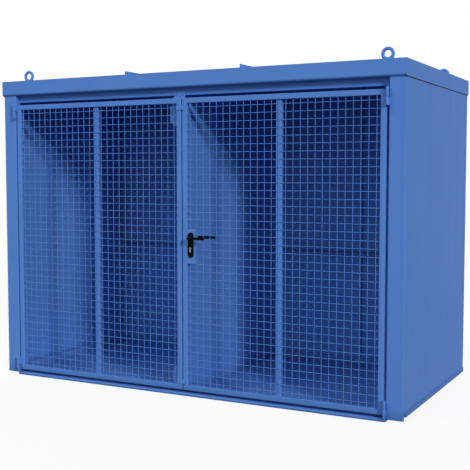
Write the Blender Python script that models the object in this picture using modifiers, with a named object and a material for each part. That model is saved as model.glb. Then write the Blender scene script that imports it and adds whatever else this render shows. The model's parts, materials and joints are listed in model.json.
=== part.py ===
"""Gas cylinder cage: a two-bay sheet steel store with a pair of mesh doors.

Metres, +Z up. The origin is the centre of the body's footprint on the ground, and the
doors face -Y. Every piece that moves hangs from an empty that stands on its joint's axis.
"""

import math

import bmesh
import bpy
from mathutils import Vector

# Clearances
SEAT = 0.0003             # between two faces that rest on each other
RUNNING_GAP = 0.005       # between a door and what stands still behind it

# Body
BODY_WIDTH = 3.092
BODY_DEPTH = 1.507
SHEET = 0.002             # thickness of every folded sheet
SHEET_BEND = 0.003        # outer radius of a sharp fold
PANEL_FLANGE = 0.025      # folded edge of a wall panel
TRAY_HEIGHT = 0.057
TRAY_RIM = 0.030          # height of the rim that carries the walls
TRAY_RIM_WIDTH = 0.075
TRAY_SIDE = 0.018         # thickness of the pan's sides under the rim
TRAY_FLOOR = 0.008
TRAY_LIP = 0.003          # tray edge past the walls
TRAY_EDGE = 0.002

# Front and back corner posts
POST_FACE = 0.109
POST_FOOT = 0.014         # clear of the ground
POST_JAMB = 0.050
POST_SIDE = 0.020
POST_BEND = 0.006
BACK_POST_LEG = 0.060

# Front sill
SILL_HEIGHT = 0.019
SILL_NOSE = 0.014         # reach in front of the posts
SILL_NOSE_RADIUS = 0.010

# Roof
ROOF_TOP = 2.193
FASCIA_HEIGHT = 0.105
ROOF_SIDE_OVERHANG = 0.004
ROOF_FRONT_OVERHANG = 0.015
ROOF_BACK_OVERHANG = 0.014
FASCIA_BACK_RETURN = 0.010
FASCIA_BEND = 0.015
SEAM_X = 0.445            # standing seams, from the middle
SEAM_HEIGHT = 0.023

# Header over the doors
HEADER_DROP = 0.050       # below the fascia
HEADER_LEG = 0.040
STOP_WIDTH = 0.100
STOP_NECK_WIDTH = 0.064
STOP_THICKNESS = 0.005
STOP_DROP = 0.088         # below the header
STOP_SHOULDER_DROP = 0.018
STOP_SHOULDER_RISE = 0.024
STOP_OVERLAP = 0.030      # up the header's face
STOP_PAST_MIDDLE = 0.002

# Partition between the bays
PARTITION_THICKNESS = 0.030
PARTITION_FACE_X = 0.002
PARTITION_FRONT_DEPTH = 0.350

# Rails for the chains that hold the cylinders
RAIL_HEIGHT = 0.041
RAIL_DEPTH = 0.021
RAIL_SLOT = 0.022
RAIL_LIP = 0.0075
RAIL_CENTRE_Z = 0.894
RAIL_END_GAP = 0.020

# Lifting eyes
EYE_OUTER = 0.086
EYE_BAR = 0.021
EYE_COLLAR = 0.050
EYE_COLLAR_TOP = 0.034
EYE_COLLAR_HEIGHT = 0.014
EYE_INSET_X = 0.153
EYE_INSET_Y = 0.103
EYE_SEGMENTS = 24
EYE_BAR_SEGMENTS = 10

# Doors
DOOR_TUBE = 0.035
DOOR_TUBE_BEND = 0.003
DOOR_PROUD = 0.0075       # in front of the posts
DOOR_BOTTOM = 0.040
DOOR_TOP_GAP = 0.022
DOOR_JAMB_GAP = 0.0156
DOOR_MEETING_GAP = 0.009
MID_BAR_WIDTH = 0.040

# Welded mesh
WIRE = 0.004
MESH_PITCH = 0.050
MESH_EDGE_MIN = 0.020     # smallest space between the last wire and the frame
MESH_RECESS = 0.0044      # behind the frame's front face
WELD_BITE = 0.0005

# Hinges
HINGE_AXIS_OUT = 0.025    # in front of the posts
HINGE_AXIS_IN = 0.004     # from the post's edge towards the door
HINGE_BARREL = 0.010
HINGE_HEIGHT = 0.112
HINGE_PIN = 0.006
HINGE_PIN_PLAY = 0.0004
HINGE_GAP = 0.0006        # between the two halves
HINGE_CAP = 0.004         # closed top of the door's half
HINGE_LOW_Z = 0.0215
HINGE_ABOVE_DOOR = 0.013
HINGE_LEG = 0.006
HINGE_LEG_START = 0.005   # back from the axis
HINGE_LEG_REACH = 0.046
HINGE_SIDES = 18

# Tabs on the meeting stiles
TAB_THICKNESS = 0.005
TAB_HEIGHT = 0.030
TAB_TOP_INSET = 0.049
TAB_BOTTOM_INSET = 0.043
TAB_LEFT = 0.0355
TAB_RIGHT = 0.0155

# Bolt plates behind the left door's meeting stile
BOLT_PLATE = 0.003
BOLT_TOP_WIDTH = 0.106
BOLT_TOP_HEIGHT = 0.149
BOLT_TOP_INSET = 0.039
BOLT_BOTTOM_WIDTH = 0.092
BOLT_BOTTOM_HEIGHT = 0.131
BOLT_BOTTOM_INSET = 0.032
BOLT_CHAMFER = 0.040

# Lock on the right door
LOCK_AXIS_INSET = 0.0655  # hub from the door's free edge
LOCK_AXIS_Z = 1.081
LOCK_CASE_WIDTH = 0.066
LOCK_CASE_HEIGHT = 0.233
LOCK_CASE_BELOW_AXIS = 0.173
LOCK_PLATE_WIDTH = 0.042
LOCK_PLATE_HEIGHT = 0.170
LOCK_PLATE_BELOW_AXIS = 0.133
LOCK_PLATE_THICKNESS = 0.008
CYLINDER_BELOW_AXIS = 0.072
CYLINDER_RADIUS = 0.0085
CYLINDER_TAIL_WIDTH = 0.010
CYLINDER_HEIGHT = 0.033
CYLINDER_PROUD = 0.003
SPINDLE = 0.008
SPINDLE_BORE = 0.0065
LEVER_RADIUS = 0.0095
LEVER_STANDOFF = 0.050
LEVER_LENGTH = 0.137
LEVER_BEND = 0.020

ARC_STEPS = 5

# Finishes: base colour, roughness, metallic
BLUE_PAINT = ((0.068, 0.176, 0.474, 1.0), 0.42, 0.0)
BLACK_PLASTIC = ((0.006, 0.006, 0.006, 1.0), 0.38, 0.0)
NICKEL = ((0.56, 0.55, 0.52, 1.0), 0.30, 1.0)
ZINC = ((0.45, 0.46, 0.47, 1.0), 0.45, 1.0)

# Places that follow from the sizes above
HALF_WIDTH = BODY_WIDTH / 2
FRONT_Y = -BODY_DEPTH / 2
BACK_Y = BODY_DEPTH / 2
ROOF_HALF_WIDTH = HALF_WIDTH + ROOF_SIDE_OVERHANG
ROOF_FRONT_Y = FRONT_Y - ROOF_FRONT_OVERHANG
ROOF_BACK_Y = BACK_Y + ROOF_BACK_OVERHANG
FASCIA_TOP = ROOF_TOP - SHEET - SEAT
FASCIA_BOTTOM = ROOF_TOP - FASCIA_HEIGHT
FASCIA_HALF_WIDTH = ROOF_HALF_WIDTH - SHEET - SEAT
WALL_BASE = TRAY_HEIGHT + SEAT
WALL_TOP = FASCIA_TOP
WALL_INNER_X = HALF_WIDTH - PANEL_FLANGE
BACK_WALL_INNER_Y = BACK_Y - PANEL_FLANGE
POST_INNER_X = HALF_WIDTH - POST_FACE
TRAY_FRONT_Y = FRONT_Y + POST_JAMB + SEAT
HEADER_BOTTOM = FASCIA_BOTTOM - HEADER_DROP
BETWEEN_POSTS_X = POST_INNER_X - SEAT

DOOR_TOP = HEADER_BOTTOM - DOOR_TOP_GAP
DOOR_FRONT_Y = FRONT_Y - DOOR_PROUD
DOOR_REAR_Y = DOOR_FRONT_Y + DOOR_TUBE
LEAF_FREE_X = DOOR_MEETING_GAP / 2
LEAF_HINGE_X = POST_INNER_X - DOOR_JAMB_GAP
MESH_FRONT_Y = DOOR_FRONT_Y + MESH_RECESS
HINGE_X = POST_INNER_X - HINGE_AXIS_IN
HINGE_Y = FRONT_Y - HINGE_AXIS_OUT
HINGE_HIGH_Z = DOOR_TOP + HINGE_ABOVE_DOOR - HINGE_HEIGHT
BOLT_PLATE_REAR_Y = DOOR_REAR_Y + SEAT + BOLT_PLATE
STOP_FRONT_Y = BOLT_PLATE_REAR_Y + RUNNING_GAP
HEADER_FRONT_Y = STOP_FRONT_Y + STOP_THICKNESS + SEAT
HEADER_BACK_Y = HEADER_FRONT_Y + HEADER_LEG

LOCK_AXIS_X = LEAF_FREE_X + LOCK_AXIS_INSET
LOCK_PLATE_FRONT_Y = DOOR_FRONT_Y - SEAT - LOCK_PLATE_THICKNESS
LOCK_PLATE_REAR_Y = DOOR_REAR_Y + SEAT + LOCK_PLATE_THICKNESS


# Scene

def clear_scene():
    """Remove every object of the file."""
    for obj in list(bpy.data.objects):
        bpy.data.objects.remove(obj, do_unlink=True)


def add_collection(name):
    collection = bpy.data.collections.new(name)
    bpy.context.scene.collection.children.link(collection)
    return collection


clear_scene()
PARTS = add_collection("gas_cylinder_cage")
CUTTERS = add_collection("cutters")


def add_axis(name, location, parent=None):
    """An empty on a joint's axis, which carries the pieces that turn about it."""
    axis = bpy.data.objects.new(name, None)
    axis.empty_display_size = 0.1
    PARTS.objects.link(axis)
    axis.location = location
    if parent:
        axis.parent = parent
        axis.location -= world_location(parent)
    return axis


def world_location(obj):
    location = obj.location.copy()
    while obj.parent:
        obj = obj.parent
        location += obj.location
    return location


def add_material(name, finish):
    colour, roughness, metallic = finish
    material = bpy.data.materials.new(name)
    material.use_nodes = True
    shader = material.node_tree.nodes["Principled BSDF"]
    shader.inputs["Base Color"].default_value = colour
    shader.inputs["Roughness"].default_value = roughness
    shader.inputs["Metallic"].default_value = metallic
    material.diffuse_color = colour
    return material


def link_object(name, data, location, finish, parent):
    """Place an object whose data is drawn round `location`."""
    obj = bpy.data.objects.new(name, data)
    PARTS.objects.link(obj)
    obj.location = location
    if parent:
        obj.parent = parent
        obj.location -= world_location(parent)
    if finish:
        data.materials.append(add_material(name, finish))
    return obj


def finish_mesh(name, bm, finish, parent=None):
    """Turn a bmesh drawn in world coordinates into an object with a centred origin."""
    low = Vector([min(v.co[i] for v in bm.verts) for i in range(3)])
    high = Vector([max(v.co[i] for v in bm.verts) for i in range(3)])
    centre = (low + high) / 2
    bmesh.ops.translate(bm, verts=bm.verts, vec=-centre)
    mesh = bpy.data.meshes.new(name)
    bm.to_mesh(mesh)
    bm.free()
    return link_object(name, mesh, centre, finish, parent)


def as_helper(obj):
    """Move an object that only cuts or joins another out of the model."""
    PARTS.objects.unlink(obj)
    CUTTERS.objects.link(obj)
    obj.hide_render = True
    obj.display_type = 'WIRE'
    return obj


def combine(obj, helper, operation):
    as_helper(helper)
    modifier = obj.modifiers.new(operation.lower(), 'BOOLEAN')
    modifier.operation = operation
    modifier.solver = 'EXACT'
    modifier.object = helper
    return obj


# Shapes

def add_block(bm, low, high):
    """A box between two corners, given in any order."""
    low, high = (Vector([pick(a, b) for a, b in zip(low, high)]) for pick in (min, max))
    verts = bmesh.ops.create_cube(bm, size=1.0)["verts"]
    bmesh.ops.scale(bm, verts=verts, vec=high - low)
    bmesh.ops.translate(bm, verts=verts, vec=(low + high) / 2)
    return verts


def block(name, low, high, finish=BLUE_PAINT, parent=None, bevel=0.0):
    bm = bmesh.new()
    add_block(bm, low, high)
    obj = finish_mesh(name, bm, finish, parent)
    if bevel:
        modifier = obj.modifiers.new("edge", 'BEVEL')
        modifier.width = bevel
        modifier.segments = 2
    return obj


def tray_panel(name, low, high, open_side):
    """A sheet with its four edges folded towards the open side."""
    bm = bmesh.new()
    add_block(bm, low, high)
    bm.normal_update()
    opening = [f for f in bm.faces if f.normal.dot(Vector(open_side)) > 0.9]
    bmesh.ops.delete(bm, geom=opening, context='FACES_ONLY')
    obj = finish_mesh(name, bm, BLUE_PAINT)
    bend = obj.modifiers.new("bend", 'BEVEL')
    bend.width = SHEET_BEND
    bend.segments = 2
    add_thickness(obj)
    return obj


def add_thickness(obj):
    modifier = obj.modifiers.new("sheet", 'SOLIDIFY')
    modifier.thickness = SHEET
    modifier.offset = -1.0
    modifier.use_even_offset = True
    return modifier


def rounded(path, radii):
    """Replace each corner that has a radius by an arc."""
    out = []
    for i, point in enumerate(path):
        radius = radii.get(i, 0.0)
        if not radius:
            out.append(point)
            continue
        corner = Vector(point)
        before = (Vector(path[i - 1]) - corner).normalized()
        after = (Vector(path[(i + 1) % len(path)]) - corner).normalized()
        half_angle = before.angle(after) / 2
        centre = corner + (before + after).normalized() * (radius / math.sin(half_angle))
        reach = radius / math.tan(half_angle)
        start = corner + before * reach - centre
        end = corner + after * reach - centre
        turn = start.angle_signed(end)
        for step in range(ARC_STEPS + 1):
            angle = -turn * step / ARC_STEPS
            c, s = math.cos(angle), math.sin(angle)
            out.append((centre.x + c * start.x - s * start.y, centre.y + s * start.x + c * start.y))
    return out


def in_space(axis, u, v, along):
    """A point of the profile plane, set at a distance along the profile's axis."""
    return {'X': (along, u, v), 'Y': (u, along, v), 'Z': (u, v, along)}[axis]


def folded_sheet(name, path, axis, start, end):
    """A sheet bent along a path. Its outer face is on the left of the path."""
    bm = bmesh.new()
    verts = [bm.verts.new(in_space(axis, u, v, start)) for u, v in path]
    edges = [bm.edges.new(pair) for pair in zip(verts, verts[1:])]
    new = bmesh.ops.extrude_edge_only(bm, edges=edges)["geom"]
    shift = Vector(in_space(axis, 0.0, 0.0, end - start))
    bmesh.ops.translate(bm, verts=[g for g in new if isinstance(g, bmesh.types.BMVert)], vec=shift)
    bmesh.ops.recalc_face_normals(bm, faces=bm.faces)
    bm.normal_update()
    (u0, v0), (u1, v1) = path[0], path[1]
    outward = Vector(in_space(axis, v0 - v1, u1 - u0, 0.0))
    first = next(f for f in verts[0].link_faces)
    if first.normal.dot(outward) < 0:
        bmesh.ops.reverse_faces(bm, faces=bm.faces)
    obj = finish_mesh(name, bm, BLUE_PAINT)
    add_thickness(obj)
    return obj


def prism(name, outline, axis, start, end, finish=BLUE_PAINT, parent=None):
    """A closed outline, pushed along its axis."""
    bm = bmesh.new()
    cap = bm.faces.new([bm.verts.new(in_space(axis, u, v, start)) for u, v in outline])
    geom = bmesh.ops.extrude_face_region(bm, geom=[cap])["geom"]
    moved = [g for g in geom if isinstance(g, bmesh.types.BMVert)]
    bmesh.ops.translate(bm, verts=moved, vec=in_space(axis, 0.0, 0.0, end - start))
    bmesh.ops.recalc_face_normals(bm, faces=bm.faces)
    return finish_mesh(name, bm, finish, parent)


def circle(centre_u, centre_v, radius, sides, first=0.0, sweep=2 * math.pi):
    """Points round a circle, or round the part of it that `sweep` covers."""
    count = sides if sweep >= 2 * math.pi else sides + 1
    angles = [first + sweep * i / sides for i in range(count)]
    return [(centre_u + radius * math.cos(a), centre_v + radius * math.sin(a)) for a in angles]


def mirrored(path):
    """The same profile on the other side, still with its outer face on the left."""
    return [(-u, v) for u, v in reversed(path)]


def on_side(side, path):
    return path if side > 0 else mirrored(path)


# Body

SIDES = (("left", -1), ("right", 1))


def build_floor():
    """A shallow pan with a raised rim that carries the walls, and the sill in front of it."""
    half, back = HALF_WIDTH + TRAY_LIP, BACK_Y + TRAY_LIP
    inner = half - TRAY_RIM_WIDTH
    side = inner + TRAY_SIDE
    rim_base = TRAY_HEIGHT - TRAY_RIM
    tray = block("floor_tray", (-half, TRAY_FRONT_Y, rim_base), (half, back, TRAY_HEIGHT),
                 bevel=TRAY_EDGE)
    pan = block("floor_tray_pan", (-side, TRAY_FRONT_Y + TRAY_EDGE, 0.0),
                (side, BACK_WALL_INNER_Y + TRAY_SIDE, TRAY_HEIGHT - TRAY_EDGE), finish=None)
    hollow = block("floor_tray_hollow", (-inner, TRAY_FRONT_Y + TRAY_SIDE, TRAY_FLOOR),
                   (inner, BACK_WALL_INNER_Y, 2 * TRAY_HEIGHT), finish=None)
    combine(tray, pan, 'UNION')
    combine(tray, hollow, 'DIFFERENCE')
    nose_y = FRONT_Y - SILL_NOSE
    outline = rounded([(FRONT_Y + POST_JAMB, 0.0), (FRONT_Y + POST_JAMB, SILL_HEIGHT),
                       (nose_y, SILL_HEIGHT), (nose_y, 0.0)], {2: SILL_NOSE_RADIUS})
    prism("front_sill", outline, 'X', -BETWEEN_POSTS_X, BETWEEN_POSTS_X)


def build_posts():
    front = rounded([(HALF_WIDTH, FRONT_Y + POST_SIDE), (HALF_WIDTH, FRONT_Y),
                     (POST_INNER_X, FRONT_Y), (POST_INNER_X, FRONT_Y + POST_JAMB)],
                    {1: POST_BEND, 2: POST_BEND})
    back = rounded([(HALF_WIDTH - BACK_POST_LEG, BACK_Y), (HALF_WIDTH, BACK_Y),
                    (HALF_WIDTH, BACK_Y - BACK_POST_LEG)], {1: POST_BEND})
    for name, side in SIDES:
        folded_sheet(f"{name}_front_post", on_side(side, front), 'Z', POST_FOOT,
                     FASCIA_BOTTOM - SEAT)
        folded_sheet(f"{name}_back_post", on_side(side, back), 'Z', WALL_BASE, WALL_TOP)


def build_walls():
    """Three panels down each side and four across the back, with their edges folded in."""
    seams = [FRONT_Y + POST_SIDE, FRONT_Y + BODY_DEPTH / 3, FRONT_Y + BODY_DEPTH * 2 / 3,
             BACK_Y - BACK_POST_LEG]
    for name, side in SIDES:
        for place, start, end in zip(("front", "middle", "back"), seams, seams[1:]):
            tray_panel(f"{name}_wall_{place}_panel",
                       (side * WALL_INNER_X, start + SEAT, WALL_BASE),
                       (side * HALF_WIDTH, end, WALL_TOP), (-side, 0, 0))
    half = HALF_WIDTH - BACK_POST_LEG
    width = half / 2
    for i in range(4):
        start = -half + i * width
        tray_panel(f"back_wall_panel_{i + 1}", (start + SEAT, BACK_WALL_INNER_Y, WALL_BASE),
                   (start + width - SEAT, BACK_Y, WALL_TOP), (0, -1, 0))


def build_partition():
    """Two double-skinned panels, filled because nothing goes between their skins."""
    start = HEADER_BACK_Y + SEAT
    seam = start + PARTITION_FRONT_DEPTH
    for place, low_y, high_y in (("front", start, seam),
                                 ("back", seam + SEAT, BACK_WALL_INNER_Y - SEAT)):
        block(f"partition_{place}_panel",
              (PARTITION_FACE_X - PARTITION_THICKNESS, low_y, TRAY_FLOOR + SEAT),
              (PARTITION_FACE_X, high_y, WALL_TOP), bevel=SHEET_BEND)


def build_header():
    """A channel over the doors, with the plate that the doors close against."""
    path = rounded([(HEADER_BACK_Y, HEADER_BOTTOM), (HEADER_FRONT_Y, HEADER_BOTTOM),
                    (HEADER_FRONT_Y, WALL_TOP), (HEADER_BACK_Y, WALL_TOP)],
                   {1: SHEET_BEND, 2: SHEET_BEND})
    folded_sheet("front_header", path, 'X', -BETWEEN_POSTS_X, BETWEEN_POSTS_X)

    right = STOP_PAST_MIDDLE
    bottom, top = HEADER_BOTTOM - STOP_DROP, HEADER_BOTTOM + STOP_OVERLAP
    shoulder = HEADER_BOTTOM - STOP_SHOULDER_DROP
    outline = [(right, bottom), (right, top), (right - STOP_NECK_WIDTH, top),
               (right - STOP_NECK_WIDTH, shoulder + STOP_SHOULDER_RISE),
               (right - STOP_WIDTH, shoulder), (right - STOP_WIDTH, bottom)]
    prism("top_stop_plate", outline, 'Y', STOP_FRONT_Y, STOP_FRONT_Y + STOP_THICKNESS)


def build_roof():
    """Three sheets with standing seams, and the fascias that hang below their ends.

    The outer sheets fold down to make the side fascias.
    """
    fin_top = ROOF_TOP + SEAM_HEIGHT
    outer_fin = SEAM_X + SEAT / 2 + SHEET
    inner_fin = SEAM_X - SEAT / 2 - SHEET
    bends = {1: SHEET_BEND, 2: SHEET_BEND}
    side_path = rounded([(outer_fin, fin_top), (outer_fin, ROOF_TOP), (ROOF_HALF_WIDTH, ROOF_TOP),
                         (ROOF_HALF_WIDTH, FASCIA_BOTTOM)], bends)
    for name, side in SIDES:
        folded_sheet(f"roof_sheet_{name}", on_side(side, side_path), 'Y', ROOF_FRONT_Y, ROOF_BACK_Y)
    middle = rounded([(-inner_fin, fin_top), (-inner_fin, ROOF_TOP), (inner_fin, ROOF_TOP),
                      (inner_fin, fin_top)], bends)
    folded_sheet("roof_sheet_middle", middle, 'Y', ROOF_FRONT_Y, ROOF_BACK_Y)

    return_y = FRONT_Y + POST_SIDE - SEAT
    front_path = rounded([(return_y, FASCIA_BOTTOM), (ROOF_FRONT_Y, FASCIA_BOTTOM),
                          (ROOF_FRONT_Y, FASCIA_TOP)], {1: FASCIA_BEND})
    back_path = [(ROOF_BACK_Y, FASCIA_TOP), (ROOF_BACK_Y, FASCIA_BOTTOM),
                 (ROOF_BACK_Y - FASCIA_BACK_RETURN, FASCIA_BOTTOM)]
    for name, path in (("front_fascia", front_path), ("back_fascia", back_path)):
        folded_sheet(name, path, 'X', -FASCIA_HALF_WIDTH, FASCIA_HALF_WIDTH)


def build_lifting_eyes():
    """A ring on a collar at each corner of the roof."""
    ring_z = ROOF_TOP + SEAT + EYE_OUTER / 2
    for place, y in (("front", FRONT_Y + EYE_INSET_Y), ("back", BACK_Y - EYE_INSET_Y)):
        for name, side in SIDES:
            x = side * (HALF_WIDTH - EYE_INSET_X)
            eye_name = f"lifting_eye_{place}_{name}"
            bpy.ops.mesh.primitive_torus_add(
                major_radius=(EYE_OUTER - EYE_BAR) / 2, minor_radius=EYE_BAR / 2,
                major_segments=EYE_SEGMENTS, minor_segments=EYE_BAR_SEGMENTS,
                location=(x, y, ring_z), rotation=(math.pi / 2, 0.0, 0.0))
            eye = bpy.context.active_object
            for collection in list(eye.users_collection):
                collection.objects.unlink(eye)
            PARTS.objects.link(eye)
            eye.name = eye.data.name = eye_name
            eye.data.materials.append(add_material(eye_name, BLUE_PAINT))
            bm = bmesh.new()
            cone = bmesh.ops.create_cone(bm, cap_ends=True, segments=20, radius1=EYE_COLLAR / 2,
                                         radius2=EYE_COLLAR_TOP / 2, depth=EYE_COLLAR_HEIGHT)
            bmesh.ops.translate(bm, verts=cone["verts"],
                                vec=(x, y, ROOF_TOP + SEAT + EYE_COLLAR_HEIGHT / 2))
            combine(eye, finish_mesh(f"{eye_name}_collar", bm, None), 'UNION')


def build_rails():
    """A slotted channel across the back of each bay."""
    back = BACK_WALL_INNER_Y - SEAT
    front = back - RAIL_DEPTH
    top, bottom = RAIL_CENTRE_Z + RAIL_HEIGHT / 2, RAIL_CENTRE_Z - RAIL_HEIGHT / 2
    slot_top, slot_bottom = RAIL_CENTRE_Z + RAIL_SLOT / 2, RAIL_CENTRE_Z - RAIL_SLOT / 2
    path = [(front + RAIL_LIP, slot_top), (front, slot_top), (front, top), (back, top),
            (back, bottom), (front, bottom), (front, slot_bottom), (front + RAIL_LIP, slot_bottom)]
    wall = WALL_INNER_X - RAIL_END_GAP
    spans = (("left", -wall, PARTITION_FACE_X - PARTITION_THICKNESS - SEAT),
             ("right", PARTITION_FACE_X + SEAT, wall))
    for name, start, end in spans:
        folded_sheet(f"{name}_rail", path, 'X', start, end)


# Hinges

def hinge_leg(side, near_x):
    """Outline of the flat leg that runs back from a hinge barrel, from near_x outwards."""
    x0, x1 = side * near_x, side * (near_x + HINGE_LEG)
    y0, y1 = HINGE_Y + HINGE_LEG_START, HINGE_Y + HINGE_LEG_REACH
    return [(x0, y0), (x1, y0), (x1, y1), (x0, y1)]


def build_hinge_pins():
    """The post's half of each hinge: barrel, leg and pin in one piece."""
    half = HINGE_HEIGHT / 2
    for name, side in SIDES:
        x = side * HINGE_X
        for place, base in (("bottom", HINGE_LOW_Z), ("top", HINGE_HIGH_Z)):
            top = base + half - HINGE_GAP
            label = f"{name}_{place}_hinge_pin"
            barrel = prism(label, circle(x, HINGE_Y, HINGE_BARREL, HINGE_SIDES), 'Z', base, top)
            leg = prism(f"{label}_leg", hinge_leg(side, POST_INNER_X - SEAT - HINGE_LEG), 'Z',
                        base, top, finish=None)
            pin = prism(f"{label}_core", circle(x, HINGE_Y, HINGE_PIN, HINGE_SIDES), 'Z',
                        top - HINGE_GAP, base + HINGE_HEIGHT - HINGE_CAP - HINGE_PIN_PLAY, finish=None)
            combine(barrel, leg, 'UNION')
            combine(barrel, pin, 'UNION')


def add_knuckles(stile, side, parent):
    """Join the door's half of both hinges to its stile, then bore them for the pins."""
    half = HINGE_HEIGHT / 2
    x = side * HINGE_X
    for place, base in (("bottom", HINGE_LOW_Z), ("top", HINGE_HIGH_Z)):
        low, high = base + half, base + HINGE_HEIGHT
        label = f"{stile.name}_{place}"
        barrel = prism(f"{label}_barrel", circle(x, HINGE_Y, HINGE_BARREL, HINGE_SIDES), 'Z',
                       low, high, finish=None, parent=parent)
        leg = prism(f"{label}_leg", hinge_leg(side, LEAF_HINGE_X - WELD_BITE), 'Z',
                    low, high, finish=None, parent=parent)
        bore = prism(f"{label}_bore",
                     circle(x, HINGE_Y, HINGE_PIN + HINGE_PIN_PLAY, HINGE_SIDES), 'Z',
                     low - half / 2, high - HINGE_CAP, finish=None, parent=parent)
        combine(stile, leg, 'UNION')
        combine(stile, barrel, 'UNION')
        combine(stile, bore, 'DIFFERENCE')


# Doors

def build_door(name, side, axis):
    """Tube frame, mesh and middle bar of one leaf. The leaf reaches from the middle outwards."""
    def span(near, far):
        return side * near, side * far

    def tube(label, x_near, x_far, bottom, top, front=DOOR_FRONT_Y, bevel=DOOR_TUBE_BEND):
        x0, x1 = span(x_near, x_far)
        return block(f"{name}_{label}", (x0, front, bottom), (x1, DOOR_REAR_Y, top),
                     parent=axis, bevel=bevel)

    inner_near = LEAF_FREE_X + DOOR_TUBE
    inner_far = LEAF_HINGE_X - DOOR_TUBE
    inner_bottom = DOOR_BOTTOM + DOOR_TUBE
    inner_top = DOOR_TOP - DOOR_TUBE
    meeting = tube("meeting_stile", LEAF_FREE_X, inner_near, DOOR_BOTTOM, DOOR_TOP)
    hinge = tube("hinge_stile", inner_far, LEAF_HINGE_X, DOOR_BOTTOM, DOOR_TOP)
    tube("top_rail", inner_near + SEAT, inner_far - SEAT, inner_top, DOOR_TOP)
    tube("bottom_rail", inner_near + SEAT, inner_far - SEAT, DOOR_BOTTOM, inner_bottom)
    add_knuckles(hinge, side, axis)

    middle = (LEAF_FREE_X + LEAF_HINGE_X) / 2
    mid_front = MESH_FRONT_Y + 2 * (WIRE + SEAT)
    tube("mid_bar", middle - MID_BAR_WIDTH / 2, middle + MID_BAR_WIDTH / 2,
         inner_bottom + SEAT, inner_top - SEAT, front=mid_front, bevel=0.0)

    tab = TAB_LEFT if side < 0 else TAB_RIGHT
    for place, low in (("top", DOOR_TOP - TAB_TOP_INSET - TAB_HEIGHT),
                       ("bottom", DOOR_BOTTOM + TAB_BOTTOM_INSET)):
        x0, x1 = span(LEAF_FREE_X, LEAF_FREE_X + tab)
        piece = block(f"{name}_{place}_tab", (x0, DOOR_FRONT_Y - TAB_THICKNESS, low),
                      (x1, DOOR_FRONT_Y + TAB_THICKNESS, low + TAB_HEIGHT),
                      finish=None, parent=axis)
        combine(meeting, piece, 'UNION')
    build_mesh(name, side, axis, (inner_near, inner_far), (inner_bottom, inner_top))


def wire_places(low, high):
    """Positions of the wires between two sides of the frame, with equal edges."""
    cells = int((high - low - 2 * MESH_EDGE_MIN) / MESH_PITCH + 1e-6)
    edge = (high - low - cells * MESH_PITCH) / 2
    return [low + edge + i * MESH_PITCH for i in range(cells + 1)]


def build_mesh(name, side, axis, x_range, z_range):
    """Square-bar mesh in two bodies, which lie one behind the other.

    The uprights are held by the first and last cross wire, and the other cross wires
    by the first and last upright.
    """
    xs, zs = wire_places(*x_range), wire_places(*z_range)
    x_low, x_high = x_range[0] + SEAT, x_range[1] - SEAT
    z_low, z_high = z_range[0] + SEAT, z_range[1] - SEAT
    half = WIRE / 2
    front = MESH_FRONT_Y
    back = front + WIRE + SEAT
    bite = SEAT + WELD_BITE

    def wires(label, boxes, finish=None):
        bm = bmesh.new()
        for low, high in boxes:
            add_block(bm, (side * low[0], low[1], low[2]), (side * high[0], high[1], high[2]))
        return finish_mesh(f"{name}_{label}", bm, finish, axis)

    def upright(x, y, low, high):
        return (x - half, y, low), (x + half, y + WIRE, high)

    def cross(z, y):
        return (x_low, y, z - half), (x_high, y + WIRE, z + half)

    ties = wires("upright_ties", [cross(z, back - bite) for z in (zs[0], zs[-1])])
    uprights = wires("upright_wires", [upright(x, front, z_low, z_high) for x in xs[1:-1]], BLUE_PAINT)
    combine(uprights, ties, 'UNION')

    tie_low, tie_high = zs[0] + WIRE, zs[-1] - WIRE
    ties = wires("cross_ties", [upright(x, front + bite, tie_low, tie_high) for x in (xs[0], xs[-1])])
    crosses = wires("cross_wires", [cross(z, back) for z in zs[1:-1]], BLUE_PAINT)
    combine(crosses, ties, 'UNION')
    if side > 0:
        low, high = lock_case_corners()
        margin = Vector((SEAT, SEAT, SEAT))
        room = block(f"{name}_lock_room", Vector(low) - margin, Vector(high) + margin,
                     finish=None, parent=axis)
        combine(crosses, room, 'DIFFERENCE')


def build_bolt_plates(axis):
    """Plates on the back of the left door's meeting stile that carry its top and bottom bolts."""
    free = -LEAF_FREE_X
    top_z = DOOR_TOP - BOLT_TOP_INSET
    low_z = top_z - BOLT_TOP_HEIGHT
    far = free - BOLT_TOP_WIDTH
    top = [(free, low_z), (free, top_z), (far, top_z), (far, low_z + BOLT_CHAMFER),
           (far + BOLT_CHAMFER, low_z)]
    low_z = DOOR_BOTTOM + BOLT_BOTTOM_INSET
    top_z = low_z + BOLT_BOTTOM_HEIGHT
    far = free - BOLT_BOTTOM_WIDTH
    bottom = [(free, low_z), (free, top_z), (far + BOLT_CHAMFER, top_z), (far, top_z - BOLT_CHAMFER),
              (far, low_z)]
    for place, outline in (("top", top), ("bottom", bottom)):
        prism(f"left_door_{place}_bolt_plate", outline, 'Y', DOOR_REAR_Y + SEAT, BOLT_PLATE_REAR_Y,
              parent=axis)


# Lock

def lock_case_corners():
    near = LEAF_FREE_X + DOOR_TUBE + SEAT
    low_z = LOCK_AXIS_Z - LOCK_CASE_BELOW_AXIS
    return ((near, DOOR_FRONT_Y, low_z),
            (near + LOCK_CASE_WIDTH, DOOR_REAR_Y, low_z + LOCK_CASE_HEIGHT))


def cylinder_outline(play):
    """The keyhole-shaped section of a profile cylinder, its round end up."""
    x, z = LOCK_AXIS_X, LOCK_AXIS_Z - CYLINDER_BELOW_AXIS
    radius = CYLINDER_RADIUS + play
    half_tail = CYLINDER_TAIL_WIDTH / 2 + play
    open_angle = math.asin(half_tail / radius)
    round_end = circle(x, z, radius, 12, -math.pi / 2 + open_angle, 2 * (math.pi - open_angle))
    tail_z = z + CYLINDER_RADIUS - CYLINDER_HEIGHT - play
    return round_end + [(x - half_tail, tail_z), (x + half_tail, tail_z)]


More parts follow.
